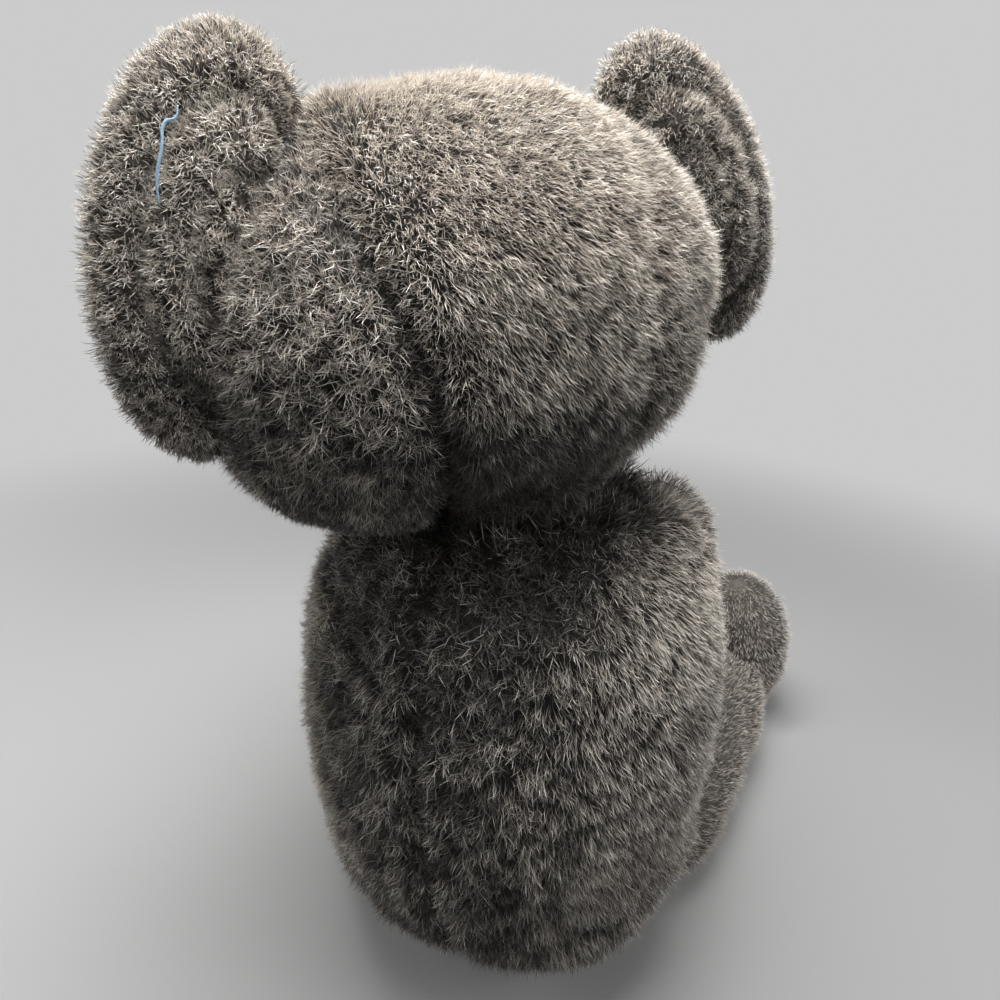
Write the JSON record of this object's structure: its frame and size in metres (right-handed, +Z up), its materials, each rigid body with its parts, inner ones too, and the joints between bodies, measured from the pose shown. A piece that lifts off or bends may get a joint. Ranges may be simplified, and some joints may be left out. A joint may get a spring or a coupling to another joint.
{
  "type": "plush koala",
  "caption": "Seated plush koala with a head that turns on a disc joint, sewn arms that lift forward and outstretched legs that swing at the hips.",
  "frame": {"origin": "middle of the flat under the seat, on the surface that the toy sits on", "axes": "+Z up; the toy's body faces -Y and its own left side is +X; its head is turned towards its left"},
  "size_m": [0.2878, 0.3856, 0.4186],
  "materials": {
    "grey_plush": "dense taupe-grey long-pile plush with pale tips",
    "cream_plush": "cream short-pile plush",
    "tan_plush": "tan suede-like plush",
    "wadding": "loose white polyester fibre",
    "bag_cloth": "plain woven lining cloth",
    "black_plastic": "polished black",
    "white_plastic": "moulded white",
    "fibreboard": "bare pressed board",
    "zinc_steel": "zinc plated"
  },
  "bodies": {
    "torso": {"torso_cover": "grey_plush", "torso_stuffing": "wadding", "seat_pellet_bag": "bag_cloth", "belly_panel": "cream_plush", "neck_bolt": "zinc_steel", "neck_disc_lower": "fibreboard", "neck_washer_lower": "zinc_steel", "neck_lock_nut": "zinc_steel"},
    "head": {"head_cover": "grey_plush", "head_stuffing": "wadding", "muzzle": "cream_plush", "nose": "black_plastic", "nose_washer": "white_plastic", "eye_left": "black_plastic", "eye_right": "black_plastic", "eye_washer_left": "white_plastic", "eye_washer_right": "white_plastic", "ear_back_left": "grey_plush", "ear_back_right": "grey_plush", "ear_lining_left": "cream_plush", "ear_lining_right": "cream_plush", "neck_disc_upper": "fibreboard", "neck_washer_upper": "zinc_steel"},
    "arm_left": {"arm_cover_left": "grey_plush", "arm_stuffing_left": "wadding", "paw_pad_left": "tan_plush"},
    "arm_right": {"arm_cover_right": "grey_plush", "arm_stuffing_right": "wadding", "paw_pad_right": "tan_plush"},
    "leg_left": {"leg_cover_left": "grey_plush", "leg_stuffing_left": "wadding", "foot_cover_left": "grey_plush", "foot_stuffing_left": "wadding", "sole_pad_left": "tan_plush"},
    "leg_right": {"leg_cover_right": "grey_plush", "leg_stuffing_right": "wadding", "foot_cover_right": "grey_plush", "foot_stuffing_right": "wadding", "sole_pad_right": "tan_plush"}
  },
  "joints": [
    {"name": "neck_swivel", "type": "hinge", "parent": "torso", "child": "head", "pos_m": [0, 0.027, 0.252], "axis": [0, 0, 1], "range_deg": [-142, 38]},
    {"name": "shoulder_left", "type": "hinge", "parent": "torso", "child": "arm_left", "pos_m": [0.054, -0.046, 0.232], "axis": [-1, 0, 0], "range_deg": [0, 30]},
    {"name": "shoulder_right", "type": "hinge", "parent": "torso", "child": "arm_right", "pos_m": [-0.054, -0.046, 0.232], "axis": [-1, 0, 0], "range_deg": [0, 30]},
    {"name": "hip_left", "type": "hinge", "parent": "torso", "child": "leg_left", "pos_m": [0.046, -0.026, 0.003], "axis": [0.9732, 0.23, 0], "range_deg": [0, 50]},
    {"name": "hip_right", "type": "hinge", "parent": "torso", "child": "leg_right", "pos_m": [-0.046, -0.026, 0.003], "axis": [0.9732, -0.23, 0], "range_deg": [0, 50]}
  ]
}
